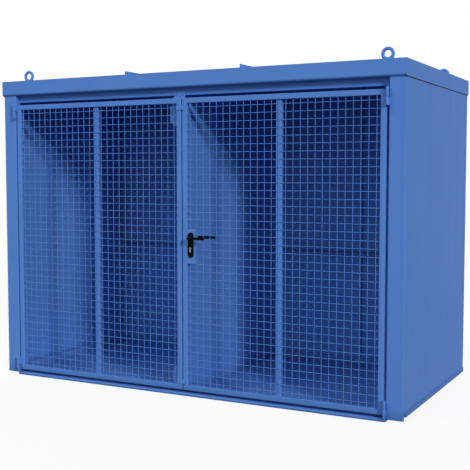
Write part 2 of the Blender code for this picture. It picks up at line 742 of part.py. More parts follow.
def build_lock(axis):
    """Case, two handle plates and a profile cylinder that goes through all three."""
    low, high = lock_case_corners()
    pieces = [block("lock_case", low, high, parent=axis)]
    half = LOCK_PLATE_WIDTH / 2
    bottom = LOCK_AXIS_Z - LOCK_PLATE_BELOW_AXIS
    top = bottom + LOCK_PLATE_HEIGHT
    outline = (circle(LOCK_AXIS_X, top - half, half, 8, 0.0, math.pi)
               + circle(LOCK_AXIS_X, bottom + half, half, 8, math.pi, math.pi))
    for label, start, end in (("outer", LOCK_PLATE_FRONT_Y, DOOR_FRONT_Y - SEAT),
                              ("inner", DOOR_REAR_Y + SEAT, LOCK_PLATE_REAR_Y)):
        pieces.append(prism(f"{label}_lock_plate", outline, 'Y', start, end, BLACK_PLASTIC, axis))

    start, end = LOCK_PLATE_FRONT_Y - CYLINDER_PROUD, LOCK_PLATE_REAR_Y + CYLINDER_PROUD
    prism("lock_cylinder", cylinder_outline(0.0), 'Y', start, end, NICKEL, axis)
    for piece in pieces:
        keyway = prism(f"{piece.name}_keyway", cylinder_outline(SEAT), 'Y', start, end, None, axis)
        bore = prism(f"{piece.name}_bore", circle(LOCK_AXIS_X, LOCK_AXIS_Z, SPINDLE_BORE, 12), 'Y',
                     start, end, None, axis)
        combine(piece, keyway, 'DIFFERENCE')
        combine(piece, bore, 'DIFFERENCE')


def build_handle(axis):
    """Two levers on a square spindle."""
    half = SPINDLE / 2
    start, end = LOCK_PLATE_FRONT_Y - SEAT, LOCK_PLATE_REAR_Y + SEAT
    block("lock_spindle", (LOCK_AXIS_X - half, start + SEAT, LOCK_AXIS_Z - half),
          (LOCK_AXIS_X + half, end - SEAT, LOCK_AXIS_Z + half), ZINC, axis)
    for name, face, way in (("outer_lever", start, -1), ("inner_lever", end, 1)):
        grip_y = face + way * LEVER_STANDOFF
        tip_x = LOCK_AXIS_X + LEVER_LENGTH
        path = rounded([(LOCK_AXIS_X, face), (LOCK_AXIS_X, grip_y), (tip_x, grip_y)], {1: LEVER_BEND})
        lever_curve(name, path, axis)


def lever_curve(name, path, axis):
    """A round bar along a level path."""
    centre = Vector((LOCK_AXIS_X, path[0][1], LOCK_AXIS_Z))
    curve = bpy.data.curves.new(name, 'CURVE')
    curve.dimensions = '3D'
    curve.bevel_depth = LEVER_RADIUS
    curve.bevel_resolution = 4
    curve.use_fill_caps = True
    spline = curve.splines.new('POLY')
    spline.points.add(len(path) - 1)
    for point, (x, y) in zip(spline.points, path):
        point.co = (x - centre.x, y - centre.y, 0.0, 1.0)
    return link_object(name, curve, centre, BLACK_PLASTIC, axis)


def main():
    build_floor()
    build_posts()
    build_walls()
    build_partition()
    build_header()
    build_roof()
    build_lifting_eyes()
    build_rails()
    build_hinge_pins()

    hinge_mid_z = (DOOR_BOTTOM + DOOR_TOP) / 2
    left_axis = add_axis("left_door_axis", Vector((-HINGE_X, HINGE_Y, hinge_mid_z)))
    right_axis = add_axis("right_door_axis", Vector((HINGE_X, HINGE_Y, hinge_mid_z)))
    build_door("left_door", -1, left_axis)
    build_bolt_plates(left_axis)
    build_door("right_door", 1, right_axis)
    build_lock(right_axis)
    lock_y = (DOOR_FRONT_Y + DOOR_REAR_Y) / 2
    handle_axis = add_axis("handle_axis", Vector((LOCK_AXIS_X, lock_y, LOCK_AXIS_Z)), right_axis)
    build_handle(handle_axis)


main()
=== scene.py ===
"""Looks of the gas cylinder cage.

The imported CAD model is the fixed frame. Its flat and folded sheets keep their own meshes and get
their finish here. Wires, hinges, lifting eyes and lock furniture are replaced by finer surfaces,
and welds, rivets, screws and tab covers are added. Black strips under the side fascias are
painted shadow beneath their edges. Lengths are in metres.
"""

from __future__ import annotations

import itertools
import json
import logging
import math
from dataclasses import dataclass, field
from enum import Enum
from typing import Any, Mapping, Sequence

import bpy
import numpy as np
from mathutils import Euler, Matrix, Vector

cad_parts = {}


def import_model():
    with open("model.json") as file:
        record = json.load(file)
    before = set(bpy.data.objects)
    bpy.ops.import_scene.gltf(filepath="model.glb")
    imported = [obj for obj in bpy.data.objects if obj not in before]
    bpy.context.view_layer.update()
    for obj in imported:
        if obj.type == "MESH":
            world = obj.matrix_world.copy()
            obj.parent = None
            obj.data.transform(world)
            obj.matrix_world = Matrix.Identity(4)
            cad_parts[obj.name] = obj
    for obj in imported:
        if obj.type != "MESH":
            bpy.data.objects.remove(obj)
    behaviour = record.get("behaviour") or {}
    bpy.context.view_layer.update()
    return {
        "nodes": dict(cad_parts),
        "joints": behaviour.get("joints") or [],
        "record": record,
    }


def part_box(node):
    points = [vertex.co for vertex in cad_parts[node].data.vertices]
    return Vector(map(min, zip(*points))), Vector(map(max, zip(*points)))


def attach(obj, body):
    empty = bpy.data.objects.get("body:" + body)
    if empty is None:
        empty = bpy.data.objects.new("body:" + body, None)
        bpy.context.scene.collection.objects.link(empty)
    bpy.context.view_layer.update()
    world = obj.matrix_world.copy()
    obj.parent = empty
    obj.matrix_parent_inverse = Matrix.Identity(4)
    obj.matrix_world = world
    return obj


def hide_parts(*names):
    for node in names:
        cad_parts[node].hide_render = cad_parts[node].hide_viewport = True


Array = np.ndarray
Surface = tuple[Array, list[Array]]
Colour = tuple[float, float, float, float]
Pair = tuple[float, float]
Triple = tuple[float, float, float]

log = logging.getLogger("gas_cylinder_cage")

X_AXIS, Y_AXIS, Z_AXIS = np.eye(3)
ORIGIN = (0.0, 0.0, 0.0)
WHITE = (1.0, 1.0, 1.0, 1.0)
NOISE_ROUGHNESS = 0.55
ARC_STEPS = 4
WELD_SIDES = 8
BEAD_PITCH = 0.0024
BEAD_NOTCH = 0.16
BEAD_END = 0.97


class Body(Enum):
    """Bodies of the frame that a piece can ride on."""

    CAGE = "cage"
    LEFT_DOOR = "left_door"
    RIGHT_DOOR = "right_door"
    HANDLE = "handle"


class Slot(Enum):
    """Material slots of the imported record."""

    BLUE_PAINT = "blue_paint"
    BLACK_PLASTIC = "black_plastic"
    NICKEL = "nickel"
    ZINC = "zinc"


class Side(Enum):
    """The two halves of the cage, by the sign of X."""

    LEFT = -1
    RIGHT = 1

    @property
    def door(self) -> Body:
        """Body of the door on this side."""
        return Body(f"{self.word}_door")

    @property
    def word(self) -> str:
        """The side as the nodes' names have it."""
        return self.name.lower()


# Shader graphs


@dataclass(frozen=True)
class Signal:
    """A socket on which Python arithmetic adds Math nodes."""

    graph: Graph
    socket: bpy.types.NodeSocket | None

    def _math(self, operation: str, left: Number, right: Number) -> Signal:
        """Result of one Math node."""
        return self.graph.add("Math", {0: left, 1: right}, operation=operation)

    def __add__(self, other: Number) -> Signal:
        """Sum."""
        return self._math("ADD", self, other)

    def __sub__(self, other: Number) -> Signal:
        """Difference."""
        return self._math("SUBTRACT", self, other)

    def __rsub__(self, other: Number) -> Signal:
        """Difference, with a number first."""
        return self._math("SUBTRACT", other, self)

    def __mul__(self, other: Number) -> Signal:
        """Product."""
        return self._math("MULTIPLY", self, other)

    def between(self, low: float, high: float) -> Signal:
        """Ramp from 0 at `low` to 1 at `high`, and flat beyond both."""
        return self.graph.add("MapRange", {0: self, 1: low, 2: high}, clamp=True)

    def within(self, low: float, high: float) -> Signal:
        """Ramp from 1 to 0 as the signal's square passes from that of `low` to that of `high`."""
        return 1.0 - (self * self).between(low ** 2, high ** 2)


Number = Signal | float


class Graph:
    """The node tree of a material or a world, written as expressions."""

    def __init__(self, owner: bpy.types.Material | bpy.types.World) -> None:
        """Start with an empty tree."""
        owner.use_nodes = True
        self.tree = owner.node_tree
        self.tree.nodes.clear()

    def add(self, kind: str, inputs: Mapping[Any, Any], output: int | str = 0,
            **settings: Any) -> Signal:
        """Add a node.

        Args:
            kind: The node's type, without the words that all of them start with.
            inputs: Values or signals of its sockets, by name or index.
            output: Name or index of the output that is wanted.
            settings: The node's own settings, set first.

        Returns:
            That output.
        """
        node = self.tree.nodes.new(f"ShaderNode{kind}")
        for name, value in settings.items():
            setattr(node, name, value)
        for key, value in inputs.items():
            if isinstance(value, Signal):
                self.tree.links.new(value.socket, node.inputs[key])
            else:
                node.inputs[key].default_value = value
        return Signal(self, node.outputs[output] if len(node.outputs) else None)

    def place(self, scale: Triple = (1.0, 1.0, 1.0)) -> Signal:
        """Object coordinates in metres, stretched along each axis."""
        place = self.add("TexCoord", {}, "Object")
        return self.add("Mapping", {"Vector": place, "Scale": scale})

    def axis(self, vector: Signal, axis: int) -> Signal:
        """One coordinate of a vector."""
        return self.add("SeparateXYZ", {0: vector}, axis)

    def noise(self, place: Signal, cell: float, detail: float = 2.0) -> Signal:
        """Noise from 0 to 1, with the size of its largest features and its octaves."""
        return self.add("TexNoise", {"Vector": place, "Scale": 1.0 / cell, "Detail": detail,
                                     "Roughness": NOISE_ROUGHNESS})

    def mix(self, share: Number, first: Any, second: Any) -> Signal:
        """Mix two colours: `first` where the share is 0 and `second` where it is 1."""
        return self.add("Mix", {0: share, 6: first, 7: second}, 2, data_type="RGBA")

    def bump(self, height: Signal, depth: float, below: Signal | None = None) -> Signal:
        """Normal bumped by a height from 0 to 1, on top of an earlier bump if there is one."""
        normal = {} if below is None else {"Normal": below}
        return self.add("Bump", {"Height": height, "Distance": depth, "Strength": 1.0, **normal})

    def principled(self, uniform: Mapping[str, float], colour: Signal, roughness: Signal,
                   normal: Signal) -> None:
        """End the tree with what varies, and uniform values on the shader's own sockets."""
        varied = {"Base Color": colour, "Roughness": roughness, "Normal": normal}
        self.add("OutputMaterial", {"Surface": self.add("BsdfPrincipled", {**uniform, **varied})})

    def seen(self) -> Signal:
        """1 for camera, glossy and transmission rays, and 0 for others."""
        camera, glossy, clear = (self.add("LightPath", {}, f"Is {ray} Ray")
                                 for ray in ("Camera", "Glossy", "Transmission"))
        return (camera + glossy + clear).between(0.0, 1.0)

    def shader_mix(self, output: str, share: Signal, first: Signal, second: Signal) -> None:
        """End the tree with the first shader where the share is 0, and the second where it is 1."""
        self.add(output, {"Surface": self.add("MixShader", {0: share, 1: first, 2: second})})


# Finishes


@dataclass(frozen=True)
class Finish:
    """A finish for one material slot."""

    slot: Slot

    def material(self) -> bpy.types.Material:
        """Make the material.

        Returns:
            The material, named as its slot.
        """
        material = bpy.data.materials.new(self.slot.value)
        self.paint(Graph(material))
        return material

    def paint(self, graph: Graph) -> None:
        """Write the finish into an empty graph."""
        raise NotImplementedError


@dataclass(frozen=True)
class PowderCoat(Finish):
    """Semi-gloss powder coat on sheet steel, with orange peel, dust, darkening near the ground and
    painted shade in the chain rails' slots.
    """

    slot: Slot = Slot.BLUE_PAINT
    colour: Colour = (0.104, 0.256, 0.672, 1.0)
    thin: Colour = (0.096, 0.242, 0.645, 1.0)
    drift_cell: float = 0.55
    drift_range: Pair = (0.35, 0.65)
    cloud_cell: float = 0.09
    fine_cell: float = 0.012
    dust: Colour = (0.30, 0.33, 0.37, 1.0)
    dust_share: float = 0.045
    dust_lift: Pair = (0.55, 0.95)
    dust_cloud: Pair = (0.30, 0.75)
    dust_roughness: float = 1.6
    # Upright faces turn darker near the ground: a darker blue, its share, heights, lift and
    # patches.
    grime: Colour = (0.060, 0.160, 0.440, 1.0)
    grime_share: float = 0.85
    grime_heights: Pair = (0.015, 0.085)
    grime_lift: Pair = (0.2, 0.6)
    grime_patches: Pair = (0.4, 0.8)
    # Painted shade in the slots of the chain rails: a dark blue, its share and where the slots lie.
    slot_dirt: Colour = (0.022, 0.062, 0.190, 1.0)
    slot_share: float = 0.45
    slot_height: float = 0.894
    slot_half: Pair = (0.0104, 0.0110)
    slot_end: Pair = (1.498, 1.500)
    slot_front: Pair = (0.690, 0.692)
    slot_back: Pair = (0.7263, 0.7267)
    gloss: float = 0.03
    roughness: float = 0.48
    roughness_spread: float = 0.10
    cloud_part: float = 0.6
    peel_cell: float = 0.0028
    peel_depth: float = 0.00003
    sheet_cell: float = 0.42
    sheet_depth: float = 0.0012

    def paint(self, graph: Graph) -> None:
        """Write the finish.

        Tone drifts between the full and the thin coat. Dust lies where the surface faces up, and
        upright faces turn darker near the ground. Painted shade darkens the slots of the chain
        rails, as a product of ramps over height, distance from the cage's middle and depth.
        Roughness follows a fine noise, and the bump is orange peel on a slow wave of the sheet.

        Args:
            graph: The material's empty graph.
        """
        place = graph.place()
        drift = graph.noise(place, self.drift_cell, 3.0)
        cloud = graph.noise(place, self.cloud_cell, 4.0)
        fine = graph.noise(place, self.fine_cell)
        lift = graph.axis(graph.add("NewGeometry", {}, "Normal"), 2)
        dusty = lift.between(*self.dust_lift) * cloud.between(*self.dust_cloud) * self.dust_share
        across, deep, high = (graph.axis(place, axis) for axis in range(3))
        patchy, least = self.grime_patches
        # Upright faces are mixed towards a darker blue near the ground, in patches.
        ground_darkening = ((1.0 - high.between(*self.grime_heights)) * (1.0 - lift.between(*self.grime_lift))
                 * (cloud * patchy + least) * self.grime_share)
        # Painted shade: inside each chain rail's slot the coat is mixed towards a dark blue.
        rail_slot_shade = ((high - self.slot_height).within(*self.slot_half) * across.within(*self.slot_end)
                 * deep.between(*self.slot_front) * (1.0 - deep.between(*self.slot_back)))
        coat = graph.mix(drift.between(*self.drift_range), self.colour, self.thin)
        colour = graph.mix(dusty, graph.mix(ground_darkening, coat, self.grime), self.dust)
        colour = graph.mix(rail_slot_shade * self.slot_share, colour, self.slot_dirt)
        mottled = cloud * self.cloud_part + fine * (1.0 - self.cloud_part) - 0.5
        roughness = mottled * self.roughness_spread + self.roughness + dusty * self.dust_roughness
        wave = graph.bump(graph.noise(place, self.sheet_cell, 1.0), self.sheet_depth)
        peel = graph.bump(graph.noise(place, self.peel_cell, 1.0), self.peel_depth, wave)
        graph.principled({"Specular IOR Level": self.gloss}, colour, roughness, peel)


@dataclass(frozen=True)
class MouldedPlastic(Finish):
    """Black moulded plastic with a fine spark-eroded grain and faint handling marks."""

    slot: Slot = Slot.BLACK_PLASTIC
    colour: Colour = (0.0028, 0.0029, 0.0036, 1.0)
    rubbed: Colour = (0.0060, 0.0062, 0.0072, 1.0)
    rubbed_cell: float = 0.022
    rubbed_range: Pair = (0.45, 0.72)
    rubbed_polish: float = 0.09
    scratch_cell: float = 0.0016
    scratch_stretch: Triple = (0.15, 1.0, 1.0)
    scratch_range: Pair = (0.62, 0.70)
    scratch_roughness: float = 0.06
    gloss: float = 0.03
    roughness: float = 0.44
    grain_cell: float = 0.0009
    grain_depth: float = 0.00002

    def paint(self, graph: Graph) -> None:
        """Write the finish: rubbed patches change tone and roughness, over a grain bump.

        Args:
            graph: The material's empty graph.
        """
        place = graph.place()
        rubbed = graph.noise(place, self.rubbed_cell, 4.0).between(*self.rubbed_range)
        scratch = graph.noise(graph.place(self.scratch_stretch), self.scratch_cell)
        roughness = (self.roughness - rubbed * self.rubbed_polish
                     + scratch.between(*self.scratch_range) * self.scratch_roughness)
        grain = graph.bump(graph.noise(place, self.grain_cell, 1.0), self.grain_depth)
        graph.principled({"Specular IOR Level": self.gloss},
                         graph.mix(rubbed, self.colour, self.rubbed), roughness, grain)


@dataclass(frozen=True)
class TurnedNickel(Finish):
    """Satin nickel with fine turning lines across it."""

    slot: Slot = Slot.NICKEL
    bright: Colour = (0.23, 0.26, 0.29, 1.0)
    dull: Colour = (0.15, 0.17, 0.20, 1.0)
    roughness: float = 0.26
    line_cell: float = 0.0004
    line_stretch: Triple = (1.0, 1.0, 0.05)
    line_depth: float = 0.000008
    line_roughness: float = 0.12
    tarnish_cell: float = 0.006
    tarnish_range: Pair = (0.4, 0.75)
    tarnish_roughness: float = 0.10

    def paint(self, graph: Graph) -> None:
        """Write the finish: stretched noise gives lines in roughness and bump.

        Args:
            graph: The material's empty graph.
        """
        lines = graph.noise(graph.place(self.line_stretch), self.line_cell)
        tarnish = graph.noise(graph.place(), self.tarnish_cell, 3.0).between(*self.tarnish_range)
        roughness = lines * self.line_roughness + tarnish * self.tarnish_roughness + self.roughness
        graph.principled({"Metallic": 1.0}, graph.mix(tarnish, self.bright, self.dull),
                         roughness, graph.bump(lines, self.line_depth))


@dataclass(frozen=True)
class ZincPlate(Finish):
    """Bright zinc plate, cloudy and a little dulled."""

    slot: Slot = Slot.ZINC
    bright: Colour = (0.52, 0.53, 0.54, 1.0)
    dull: Colour = (0.34, 0.35, 0.36, 1.0)
    dull_range: Pair = (0.25, 0.85)
    dull_roughness: float = 0.16
    roughness: float = 0.34
    spangle_cell: float = 0.0035
    spangle_part: float = 0.4
    cloud_cell: float = 0.010
    cloud_part: float = 0.8
    cloud_depth: float = 0.00004

    def paint(self, graph: Graph) -> None:
        """Write the finish: crystal cells and a cloud change tone and roughness.

        Args:
            graph: The material's empty graph.
        """
        place = graph.place()
        spangle = graph.add("TexVoronoi", {"Vector": place, "Scale": 1.0 / self.spangle_cell})
        cloud = graph.noise(place, self.cloud_cell, 3.0)
        share = (spangle * self.spangle_part + cloud * self.cloud_part).between(*self.dull_range)
        graph.principled({"Metallic": 1.0}, graph.mix(share, self.bright, self.dull),
                         share * self.dull_roughness + self.roughness,
                         graph.bump(cloud, self.cloud_depth))


FINISHES = (PowderCoat(), MouldedPlastic(), TurnedNickel(), ZincPlate())


# Surfaces


def circle(sides: int) -> Array:
    """Unit circle: point j is (cos a, sin a) with a = 2 pi j / sides."""
    angle = 2 * np.pi * np.arange(sides) / sides
    return np.stack([np.cos(angle), np.sin(angle)], axis=1)


def rectangle(width: float, height: float) -> Array:
    """Corners of a rectangle round the origin, counter-clockwise."""
    u, v = width / 2, height / 2
    return np.array([[-u, -v], [u, -v], [u, v], [-u, v]])


def rounded(corners: Array, radius: float) -> Array:
    """Round every corner of an outline.

    Each corner c with neighbours b and a becomes a quadratic arc from c + r (b - c)/|b - c| to
    c + r (a - c)/|a - c|, bent towards c: p(t) = (1-t)^2 start + 2t(1-t) c + t^2 end.

    Args:
        corners: Corner points, in order.
        radius: Reach of the rounding along each edge.

    Returns:
        The points of the rounded outline.
    """
    before, after = np.roll(corners, 1, axis=0) - corners, np.roll(corners, -1, axis=0) - corners
    start = corners + radius * before / np.linalg.norm(before, axis=1, keepdims=True)
    end = corners + radius * after / np.linalg.norm(after, axis=1, keepdims=True)
    t = np.linspace(0.0, 1.0, ARC_STEPS + 1)[None, :, None]
    arc = ((1 - t) ** 2 * start[:, None] + 2 * t * (1 - t) * corners[:, None]
           + t ** 2 * end[:, None])
    return arc.reshape(-1, 2)


def grid(x: Any, y: Any, z: Any) -> Array:
    """Rows of places from numbers or flat arrays of x, y and z."""
    return np.stack(np.broadcast_arrays(np.atleast_1d(x), y, np.atleast_1d(z)), axis=1)


def skin(rings: Array, closed: bool = False) -> Surface:
    """Join rings of points with quads, and cap the ends.

    Quad (i, j) has the points (i, j), (i+1, j), (i+1, j+1) and (i, j+1), with j taken round the
    ring and, on a closed surface, i taken round as well.

    Args:
        rings: Points as rings by points by three.
        closed: Whether the last ring joins the first.

    Returns:
        Points and faces.
    """
    count, sides = rings.shape[:2]
    i, j = np.meshgrid(np.arange(count if closed else count - 1), np.arange(sides), indexing="ij")
    below, above = i * sides, (i + 1) % count * sides
    ahead = (j + 1) % sides
    quads = np.stack([below + j, above + j, above + ahead, below + ahead], axis=-1).reshape(-1, 4)
    faces = [quads]
    if not closed:
        rim = np.arange(sides)[None]
        faces += [rim, (count - 1) * sides + rim[:, ::-1]]
    return rings.reshape(-1, 3), faces


def carry(profile: Array, path: Any, up: Array = Z_AXIS, size: Any = 1.0,
          closed: bool = False) -> Surface:
    """Carry a closed profile along a path.

    Point (i, j) = path_i + size_i0 u_j side_i + size_i1 v_j lift_i, where side = tangent x up,
    made a unit vector, and lift = side x tangent.

    Args:
        profile: Counter-clockwise points (u, v).
        path: Points along the path.
        up: Direction that the profile's v keeps towards.
        size: One factor, or one for u and one for v at each point of the path.
        closed: Whether the path's end joins its start.

    Returns:
        Points and faces.
    """
    path = np.asarray(path, float)
    if closed:
        tangent = np.roll(path, -1, axis=0) - np.roll(path, 1, axis=0)
    else:
        tangent = np.gradient(path, axis=0)
    tangent /= np.linalg.norm(tangent, axis=1, keepdims=True)
    side = np.cross(tangent, up)
    side /= np.linalg.norm(side, axis=1, keepdims=True)
    lift = np.cross(side, tangent)
    size = np.broadcast_to(np.asarray(size, float), (len(path), 2))
    rings = (path[:, None] + (size[:, :1] * profile[:, 0])[..., None] * side[:, None]
             + (size[:, 1:] * profile[:, 1])[..., None] * lift[:, None])
    return skin(rings, closed)


def lathe(profile: Sequence[Pair], sides: int, centre: Any = ORIGIN,
          axis: Array = Z_AXIS) -> Surface:
    """Turn a profile about an axis.

    Point (i, j) = centre + height_i axis + radius_i (cos a_j first - sin a_j second), with
    a_j = 2 pi j / sides. The profile starts and ends on the axis, where it closes in a pole.

    Args:
        profile: Radius and height of each point, from the low pole to the high one.
        sides: Points round each ring.
        centre: Where the axis has height 0.
        axis: Direction of the axis.

    Returns:
        Points and faces.
    """
    radius, height = np.asarray(profile, float).T
    first = np.cross(Y_AXIS if abs(axis[1]) < 0.9 else X_AXIS, axis)
    first = first / np.linalg.norm(first)
    turn = circle(sides)
    rim = turn[:, :1] * first - turn[:, 1:] * np.cross(axis, first)
    stem = np.asarray(centre, float) + height[:, None] * axis
    rings = stem[1:-1, None] + radius[1:-1, None, None] * rim
    points = np.concatenate([stem[:1], rings.reshape(-1, 3), stem[-1:]])
    near = np.arange(sides)
    ahead = (near + 1) % sides
    last = 1 + (len(rings) - 1) * sides
    fans = [np.stack([np.zeros(sides, int), 1 + near, 1 + ahead], axis=1),
            np.stack([np.full(sides, len(points) - 1), last + ahead, last + near], axis=1)]
    return points, [skin(rings)[1][0] + 1, *fans]


def dome(radius: float, height: float, rings: int = 4) -> list[Pair]:
    """Quarter ellipse from the rim to the pole: radius cos a, height sin a."""
    angle = np.linspace(0.0, np.pi / 2, rings + 1)
    return list(zip(radius * np.cos(angle), height * np.sin(angle)))


# Radius and height of turned parts, from the low pole to the high one. The neck of a lifting
# eye's foot narrows as (1 - t)^2 up its height.
RIVET = [(0.0, -0.0004), (0.005096, -0.0004), *dome(0.0052, 0.0016, 3)[:-1],
         (0.001352, 0.001584), (0.00104, 0.00088), (0.0, 0.00088)]
RAIL_SCREW = [(0.0, 0.0), (0.0068, 0.0), *dome(0.0068, 0.0040)[:-1], (0.0022, 0.0040),
              (0.00198, 0.0014), (0.0, 0.0014)]
PLATE_SCREW = [(0.0, -0.001), (0.0040, -0.001), (0.0040, 0.0002), (0.0032, 0.0008),
               (0.00168, 0.0010), (0.00144, 0.0001), (0.0, 0.0001)]
NECK = np.linspace(0.0, 1.0, 7)
EYE_FOOT = [(0.0, 0.0), (0.025, 0.0), (0.025, 0.0035), (0.0225, 0.006),
            *zip(0.0125 + 0.0045 * (1 - NECK) ** 2, 0.006 + 0.014 * NECK), (0.0, 0.021)]
HUB = [(0.0, -0.001), (0.0150, -0.001), (0.0150, 0.0018), (0.0138, 0.0030), (0.0112, 0.0030),
       (0.0108, 0.0022), (0.0, 0.0022)]
PLUG = [(0.0, -0.0005), (0.0066, -0.0005), (0.0066, 0.0002), (0.0062, 0.0005), (0.0, 0.0005)]

# Outline of the keyway, drawn as a key's section
KEYWAY = np.array([(-0.0006, -0.0042), (0.0006, -0.0042), (0.0006, -0.0014), (0.0011, -0.0008),
                   (0.0011, 0.0010), (0.0004, 0.0018), (0.0004, 0.0042), (-0.0008, 0.0042),
                   (-0.0008, 0.0016), (-0.0001, 0.0008), (-0.0001, -0.0006), (-0.0006, -0.0012)])


def nugget(radius: float, height: float, axis: Array = Y_AXIS) -> Surface:
    """A small weld: an ellipsoid with radius sin a and height -cos a."""
    angle = np.linspace(0.0, np.pi, 5)
    profile = list(zip(radius * np.sin(angle), -height * np.cos(angle)))
    return lathe(profile, WELD_SIDES, ORIGIN, axis)


def bead(start: Any, end: Any, half: Any) -> Surface:
    """A weld bead with its scales, half sunk into what it joins.

    An ellipse is carried from start to end. Its size is 1 - notch saw(x / pitch), with saw from 0
    to 1 over each scale, times sqrt(1 - s^6) with s from -1 to 1 along the bead.

    Args:
        start: First point.
        end: Last point.
        half: Half its width and half its height, or one number for both.

    Returns:
        Points and faces.
    """
    start, end = np.asarray(start, float), np.asarray(end, float)
    length = np.linalg.norm(end - start)
    t = np.linspace(0.0, 1.0, max(8, int(round(length / BEAD_PITCH)) * 3) + 1)
    scale = 1.0 - BEAD_NOTCH * np.mod(t * length / BEAD_PITCH, 1.0)
    taper = np.sqrt(1.0 - np.clip(np.abs(2 * t - 1), 0.0, BEAD_END) ** 6)
    size = (scale * taper)[:, None] * np.asarray(half)
    up = Z_AXIS if abs(end[2] - start[2]) < 0.9 * length else Y_AXIS
    return carry(circle(WELD_SIDES), start + t[:, None] * (end - start), up, size)


@dataclass
class Shell:
    """Points and faces of one piece, gathered as whole arrays."""

    points: list[Array] = field(default_factory=list)
    faces: list[Array] = field(default_factory=list)

    def add(self, surface: Surface, places: Any = ORIGIN) -> Shell:
        """Add a surface at one or more places.

        A copy's points are the surface's points plus its place, and its faces are numbered on
        from the points before it.

        Args:
            surface: Points and faces.
            places: One place, or one in each row.

        Returns:
            The shell itself.
        """
        points, faces = surface
        places = np.atleast_2d(np.asarray(places, float))
        start = sum(map(len, self.points))
        self.points.append((places[:, None] + points[None]).reshape(-1, 3))
        first = start + len(points) * np.arange(len(places))
        self.faces += [(first[:, None, None] + block[None]).reshape(-1, block.shape[1])
                       for block in faces]
        return self

    def to_object(self, name: str, smooth: float = 35.0) -> bpy.types.Object:
        """Make the object.

        Args:
            name: Its name.
            smooth: Largest angle in degrees that is shaded smooth.

        Returns:
            The object, at the origin.
        """
        mesh = bpy.data.meshes.new(name)
        faces = list(itertools.chain.from_iterable(block.tolist() for block in self.faces))
        mesh.from_pydata(np.concatenate(self.points).tolist(), [], faces)
        mesh.shade_smooth()
        mesh.set_sharp_from_angle(angle=math.radians(smooth))
        mesh.update()
        piece = bpy.data.objects.new(name, mesh)
        bpy.context.scene.collection.objects.link(piece)
        return piece


# Sub-assemblies


@dataclass
class SubAssembly:
    """Pieces that are built together, then dressed."""

    pieces: list[tuple[bpy.types.Object, Slot]] = field(default_factory=list, init=False)

    def make(self, name: str, shell: Shell, body: Body, slot: Slot = Slot.BLUE_PAINT,
             replaced: Sequence[str] = (), smooth: float = 35.0) -> None:
        """Turn a shell into a piece that rides on its body.

        Args:
            name: Name of the piece.
            shell: Its points and faces.
            body: The body that carries it.
            slot: Slot of its finish.
            replaced: CAD nodes that it stands for.
            smooth: Largest angle in degrees that is shaded smooth.
        """
        piece = shell.to_object(name, smooth)
        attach(piece, body.value)
        if replaced:
            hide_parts(*replaced)
        self.pieces.append((piece, slot))
        log.info("%s: %d faces on %s", name, len(piece.data.polygons), body.value)

    def dress(self, materials: Mapping[Slot, bpy.types.Material]) -> None:
        """Give each piece its finish.

        Args:
            materials: The material of each slot.
        """
        for piece, slot in self.pieces:
            piece.data.materials.append(materials[slot])


@dataclass
class WireMesh(SubAssembly):
    """Welded mesh of one door: round wires with a small weld at each crossing."""

    side: Side = Side.LEFT
    wire: float = 0.0020
    pitch: float = 0.050
    edge_min: float = 0.020
    pressed: float = 0.0005
    weld: float = 0.0027
    weld_height: float = 0.0018
    end_weld: float = 0.0034

    def lines(self, low: float, high: float) -> Array:
        """Positions of wires between two edges, spaced by the pitch with equal margins."""
        cells = int((high - low - 2 * self.edge_min) / self.pitch + 1e-6)
        return (low + high - cells * self.pitch) / 2 + self.pitch * np.arange(cells + 1)

    def rod(self, axis: int, start: float, end: float) -> Surface:
        """A straight wire along one axis: a circle carried from start to end."""
        path = np.zeros((2, 3))
        path[:, axis] = start, end
        return carry(self.wire * circle(8), path, Y_AXIS)

    def build(self) -> None:
        """Build uprights, cross wires and welds, cut away round the lock case."""
        door, word = self.side.door, self.side.door.value
        rail_low, rail_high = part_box(f"{word}_top_rail")
        x0, x1, z1 = rail_low.x, rail_high.x, rail_low.z
        z0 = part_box(f"{word}_bottom_rail")[1].z
        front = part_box(f"{word}_upright_wires")[0].y + self.wire
        back = front + 2 * self.wire - self.pressed
        columns, rows = self.lines(x0, x1), self.lines(z0, z1)
        cut_column, cut_row = np.zeros(len(columns), bool), np.zeros(len(rows), bool)
        uprights, crosses, welds = Shell(), Shell(), Shell()
        if self.side is Side.RIGHT:
            low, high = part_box("lock_case")
            cut_column = (columns > low.x - self.wire) & (columns < high.x + self.wire)
            cut_row = (rows > low.z - self.wire) & (rows < high.z + self.wire)
            places = grid(columns[cut_column], front, 0.0)
            uprights.add(self.rod(2, z0, low.z), places).add(self.rod(2, high.z, z1), places)
            crosses.add(self.rod(0, high.x, x1), grid(0.0, back, rows[cut_row]))
        uprights.add(self.rod(2, z0, z1), grid(columns[~cut_column], front, 0.0))
        crosses.add(self.rod(0, x0, x1), grid(0.0, back, rows[~cut_row]))

        x, z = np.meshgrid(columns, rows, indexing="ij")
        kept = ~(cut_column[:, None] & cut_row[None, :])
        welds.add(nugget(self.weld, self.weld_height), grid(x[kept], (front + back) / 2, z[kept]))
        end = nugget(self.end_weld, self.end_weld, Z_AXIS)
        welds.add(end, grid(columns, front, z0)).add(end, grid(columns, front, z1))
        end = nugget(self.end_weld, self.end_weld, X_AXIS)
        welds.add(end, grid(x1, back, rows)).add(end, grid(x0, back, rows[~cut_row]))

        self.make(f"{word}_mesh_uprights", uprights, door, replaced=[f"{word}_upright_wires"])
        self.make(f"{word}_mesh_crosses", crosses, door, replaced=[f"{word}_cross_wires"])
        self.make(f"{word}_mesh_welds", welds, door, smooth=80.0)


